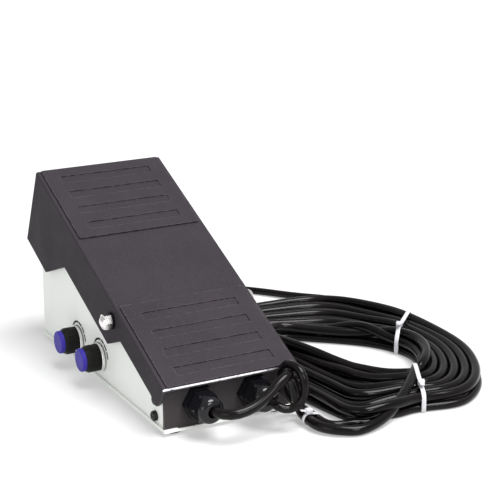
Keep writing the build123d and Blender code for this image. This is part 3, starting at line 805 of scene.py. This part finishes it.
# Where each tie stands, which way the bundle runs through it, how far it reaches
# to each side, where its head is across the bundle, and how wide its strap is
TIES = (
    ((-25.5, -220.5), 48.0, 44.0, 32.0, 3.4),
    ((-155.0, -148.5), 64.0, 37.0, 2.0, 3.4),
    ((-151.0, -55.1), 0.0, 9.5, 3.0, 2.6),
)


def line_of(route):
    """Points along the spline of a cord, in millimetres."""
    cord = nurbs("line", route, 0.0)
    data = cord.data
    mesh = bpy.data.meshes.new_from_object(cord)
    line = np.array([corner.co for corner in mesh.vertices]) / MM
    bpy.data.objects.remove(cord)
    bpy.data.curves.remove(data)
    bpy.data.meshes.remove(mesh)
    return line


LINES = [line_of(route) for route in ROUTES]


def bundle_outline(centre, along, across, reach):
    """The outline, across and up, of the cables that cross a tie's plane."""
    rim = []
    for line, diameter in zip(LINES, CABLE_D):
        past = (line[:, :2] - centre) @ along
        for i in np.nonzero(past[:-1] * past[1:] <= 0)[0]:
            step = line[i + 1] - line[i]
            place = line[i] + step * past[i] / (past[i] - past[i + 1])
            side = (place[:2] - centre) @ across
            if abs(side) > reach:
                continue
            slant = max(abs(step[:2] @ along) / np.linalg.norm(step), LEAST_SLANT)
            radius = diameter / MM / 2 + STRAP_THICK / 2
            for turn in np.linspace(0, 2 * math.pi, RIM_POINTS + 1)[:-1]:
                rim.append((side + radius / slant * math.cos(turn), place[2] + radius * math.sin(turn)))
    return hull(rim)


def hull(points):
    """The convex outline of flat points, anticlockwise."""
    halves = []
    for ordered in (sorted(points), sorted(points, reverse=True)):
        half = []
        for p in ordered:
            while len(half) > 1 and turn_of(half[-2], half[-1], p) <= 0:
                half.pop()
            half.append(p)
        halves += half[:-1]
    return np.array(halves)


def turn_of(a, b, c):
    return (b[0] - a[0]) * (c[1] - a[1]) - (b[1] - a[1]) * (c[0] - a[0])


def evenly(outline, spacing):
    """A closed outline's points at even steps."""
    closed = np.vstack([outline, outline[:1]])
    length = np.concatenate([[0], np.cumsum(np.linalg.norm(np.diff(closed, axis=0), axis=1))])
    at = np.linspace(0, length[-1], max(int(length[-1] / spacing), 12), endpoint=False)
    return np.stack([np.interp(at, length, closed[:, i]) for i in (0, 1)], axis=1)


def strap_loop(centre, along, across, reach):
    """The strap's line round the bundle, with its directions and the normals that face out."""
    loop = evenly(bundle_outline(centre, along, across, reach), STRAP_STEP)
    for _ in range(STRAP_SMOOTH_ROUNDS):
        loop = (np.roll(loop, 1, axis=0) + 2 * loop + np.roll(loop, -1, axis=0)) / 4
    loop[:, 1] = np.maximum(loop[:, 1], STRAP_THICK / 2 + 0.05)
    run = np.roll(loop, -1, axis=0) - np.roll(loop, 1, axis=0)
    run /= np.linalg.norm(run, axis=1)[:, None]
    return loop, run, np.stack([run[:, 1], -run[:, 0]], axis=1)


def tie_mesh(bm, centre, direction, reach, head_at, strap):
    turn = math.radians(direction)
    centre = np.array(centre)
    along = np.array((math.cos(turn), math.sin(turn)))
    across = np.array((-along[1], along[0]))
    loop, run, outward = strap_loop(centre, along, across, reach)

    def place(flat, aside):
        x, y = centre + across * flat[0] + along * aside
        return (x, y, flat[1])

    def section(flat, normal, thick, wide):
        low, high = flat - normal * thick / 2, flat + normal * thick / 2
        return [place(low, -wide / 2), place(low, wide / 2), place(high, wide / 2), place(high, -wide / 2)]

    ribbon(bm, [section(p, n, STRAP_THICK, strap) for p, n in zip(loop, outward)], closed=True)
    upper = np.nonzero(outward[:, 1] > HEAD_ABOVE)[0]
    top = upper[np.argmin(abs(loop[upper, 0] - head_at))]
    normal, ahead = outward[top], run[top]
    head = loop[top] + normal * HEAD_LIFT
    block = [section(head + ahead * at, normal, thick, strap + more) for at, thick, more in HEAD_SHAPE]
    ribbon(bm, block, closed=False)
    end = [section(head + ahead * at + normal * lift, normal, thick, strap) for at, lift, thick in END_SHAPE]
    ribbon(bm, end, closed=False)


def add_ties():
    """The three ties, each in place of its CAD solid."""
    made = []
    for n, tie in enumerate(TIES, start=1):
        piece = add_mesh(f"tie_strap_{n}", lambda bm: tie_mesh(bm, *tie), "tie_nylon")
        soften(piece, 0.3 * MM)
        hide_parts(f"tie_{n}")
        made.append(piece)
    return made


TIE_PIECES = add_ties()

# ---------------------------------------------------------------- return spring

SPRING_AT = (8.0, 24.0)
SPRING_ENDS = (41.3, 90.2)  # heights of the wire's middle
SPRING_R = 7.0
SPRING_WIRE = 2.6
SPRING_TURNS = 7.0
TURN_POINTS = 16
END_TURNS = 0.75  # at each end, wound close
CLOSE_PITCH = 2.8


def spring_rise(turn):
    """Height of the wire after so many turns, the first and last wound close."""
    low, high = SPRING_ENDS
    start = min(turn, END_TURNS) * CLOSE_PITCH
    end = max(turn - SPRING_TURNS + END_TURNS, 0.0) * CLOSE_PITCH
    free = min(max(turn - END_TURNS, 0.0), SPRING_TURNS - 2 * END_TURNS)
    pitch = (high - low - 2 * END_TURNS * CLOSE_PITCH) / (SPRING_TURNS - 2 * END_TURNS)
    return low + start + free * pitch + end


def add_spring():
    """The return spring, its foot on the base and its top on the treadle."""
    points = []
    for n in range(int(SPRING_TURNS * TURN_POINTS) + 1):
        turn = n / TURN_POINTS
        x = SPRING_AT[0] + SPRING_R * math.cos(2 * math.pi * turn)
        y = SPRING_AT[1] + SPRING_R * math.sin(2 * math.pi * turn)
        points.append((x, y, spring_rise(turn)))
    wire = nurbs("wire", points, SPRING_WIRE * MM)
    data = wire.data
    piece = bpy.data.objects.new("spring_wire", bpy.data.meshes.new_from_object(wire))
    bpy.context.scene.collection.objects.link(piece)
    bpy.data.objects.remove(wire)
    bpy.data.curves.remove(data)
    piece.data.materials.clear()
    piece.data.materials.append(MATERIALS["spring_steel"])
    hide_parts("return_spring")
    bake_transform(piece)


add_spring()

# ---------------------------------------------------------------- dial marks

PANEL_FACE = 49.4
KNOB_AXES = ((43.5, 22.6), (-1.5, 22.6))
PRINT_FACES = (PANEL_FACE - 0.1, PANEL_FACE + 0.15)
SCALE_R = 14.3
SCALE_HALF = 0.8  # half the line's width
SCALE_DASHES = 6
SCALE_FROM = 13.0
SCALE_STEP = 27.0
SCALE_DASH = 23.0
MARK_TURNS = (60.0, 65.0)
MARK_HALF = 0.9
POINTER_TURN = 35.0
POINTER_HALF = 0.55
POINTER_LINE = ((10.9, 61.6), (10.55, 64.6), (9.5, 67.3))  # radius and Y down the knob's shoulder
POINTER_DEPTH = (0.5, 0.6)  # how far it starts inside that radius, and how thick it is


def arc_strip(bm, centre, radii, turns, faces, steps):
    """A flat arc on the panel between two radii and two angles."""
    sections = []
    for k in range(steps + 1):
        turn = math.radians(turns[0] + (turns[1] - turns[0]) * k / steps)
        dx, dz = math.cos(turn), math.sin(turn)
        corners = ((radii[0], faces[0]), (radii[1], faces[0]), (radii[1], faces[1]), (radii[0], faces[1]))
        sections.append([(centre[0] + r * dx, y, centre[1] + r * dz) for r, y in corners])
    ribbon(bm, sections, closed=False)


def scale_mesh(bm):
    """The printed arc round each knob, with one broader mark."""
    for centre in KNOB_AXES:
        radii = (SCALE_R - SCALE_HALF, SCALE_R + SCALE_HALF)
        for n in range(SCALE_DASHES):
            turn = SCALE_FROM + n * SCALE_STEP
            arc_strip(bm, centre, radii, (turn, turn + SCALE_DASH), PRINT_FACES, 9)
        arc_strip(bm, centre, (SCALE_R - MARK_HALF, SCALE_R + MARK_HALF), MARK_TURNS, PRINT_FACES, 3)


def pointer_mesh(bm, centre):
    """The white line on a knob's sloping shoulder."""
    turn = math.radians(POINTER_TURN)
    out = np.array((math.cos(turn), math.sin(turn)))
    side = np.array((-out[1], out[0])) * POINTER_HALF
    sections = []
    for r, y in POINTER_LINE:
        middle = np.array(centre) + out * (r - POINTER_DEPTH[0])
        inner = [(middle + side * s, y) for s in (-1, 1)]
        outer = [(middle + side * s + out * POINTER_DEPTH[1], y) for s in (1, -1)]
        sections.append([(p[0], y, p[1]) for p, y in inner + outer])
    ribbon(bm, sections, closed=False)


def add_marks():
    add_mesh("knob_scales", scale_mesh, "washer_black")
    for n, centre in enumerate(KNOB_AXES, start=1):
        add_mesh(f"knob_{n}_pointer", lambda bm: pointer_mesh(bm, centre), "bush_nylon", f"knob_{n}")


add_marks()

# ---------------------------------------------------------------- CAD nodes


def dress_nodes():
    """Each CAD node gets the material of its slot."""
    for entry in frame["record"]["subparts"]:
        node = frame["nodes"][entry["node"]]
        node.data.materials.clear()
        node.data.materials.append(MATERIALS[entry["material_slot"]])


dress_nodes()


def declare_cables():
    for n, cable in enumerate(CABLES):
        with_pieces = [f"plug_{n + 1}_body", f"plug_{n + 1}_ring"]
        if n == 0:
            with_pieces += TIE_PIECES


declare_cables()

# ---------------------------------------------------------------- floor and light

FLOOR_HALF = 40.0
FLOOR_GLOW = 0.36  # lifts the shadows on the white ground
WORLD_STRENGTH = 0.55
SUN_STRENGTH = 4.4
SUN_WIDTH = 36.0
SUN_TILT = (13.0, -16.0, 0.0)


def add_floor():
    bm = bmesh.new()
    bmesh.ops.create_grid(bm, x_segments=1, y_segments=1, size=FLOOR_HALF)
    data = bpy.data.meshes.new("floor")
    bm.to_mesh(data)
    bm.free()
    floor = bpy.data.objects.new("floor", data)
    bpy.context.scene.collection.objects.link(floor)
    shader = Shader("floor_paper")
    shader.set(
        Base_Color=(0.4, 0.4, 0.4, 1.0),
        Roughness=0.95,
        Specular_IOR_Level=0.2,
        Emission_Color=(1.0, 1.0, 1.0, 1.0),
        Emission_Strength=FLOOR_GLOW,
    )
    data.materials.append(shader.material)


def add_light(name, place, aim, size, watts):
    data = bpy.data.lights.new(name, "AREA")
    data.shape = "RECTANGLE"
    data.size, data.size_y = size
    data.energy = watts
    light = bpy.data.objects.new(name, data)
    light.location = place
    light.rotation_mode = "QUATERNION"
    light.rotation_quaternion = (Vector(aim) - Vector(place)).to_track_quat("-Z", "Y")
    bpy.context.scene.collection.objects.link(light)


def add_world():
    world = bpy.data.worlds.new("studio")
    world.use_nodes = True
    background = world.node_tree.nodes["Background"]
    background.inputs["Color"].default_value = (1.0, 1.0, 1.0, 1.0)
    background.inputs["Strength"].default_value = WORLD_STRENGTH
    bpy.context.scene.world = world


def add_sky_disc():
    """The overhead softbox, so large that it lights the whole floor alike."""
    data = bpy.data.lights.new("overhead", "SUN")
    data.energy = SUN_STRENGTH
    data.angle = math.radians(SUN_WIDTH)
    light = bpy.data.objects.new("overhead", data)
    light.rotation_euler = [math.radians(tilt) for tilt in SUN_TILT]
    bpy.context.scene.collection.objects.link(light)


def light_scene():
    add_floor()
    add_world()
    add_sky_disc()
    add_light("side_soft", (-0.55, 0.85, 0.3), (-0.05, 0.05, 0.03), size=(0.5, 0.4), watts=1.5)
    add_light("front_soft", (-1.5, -0.1, 0.9), (-0.1, -0.05, 0.0), size=(0.55, 0.55), watts=8)
    bpy.context.scene.view_settings.view_transform = "Standard"


light_scene()
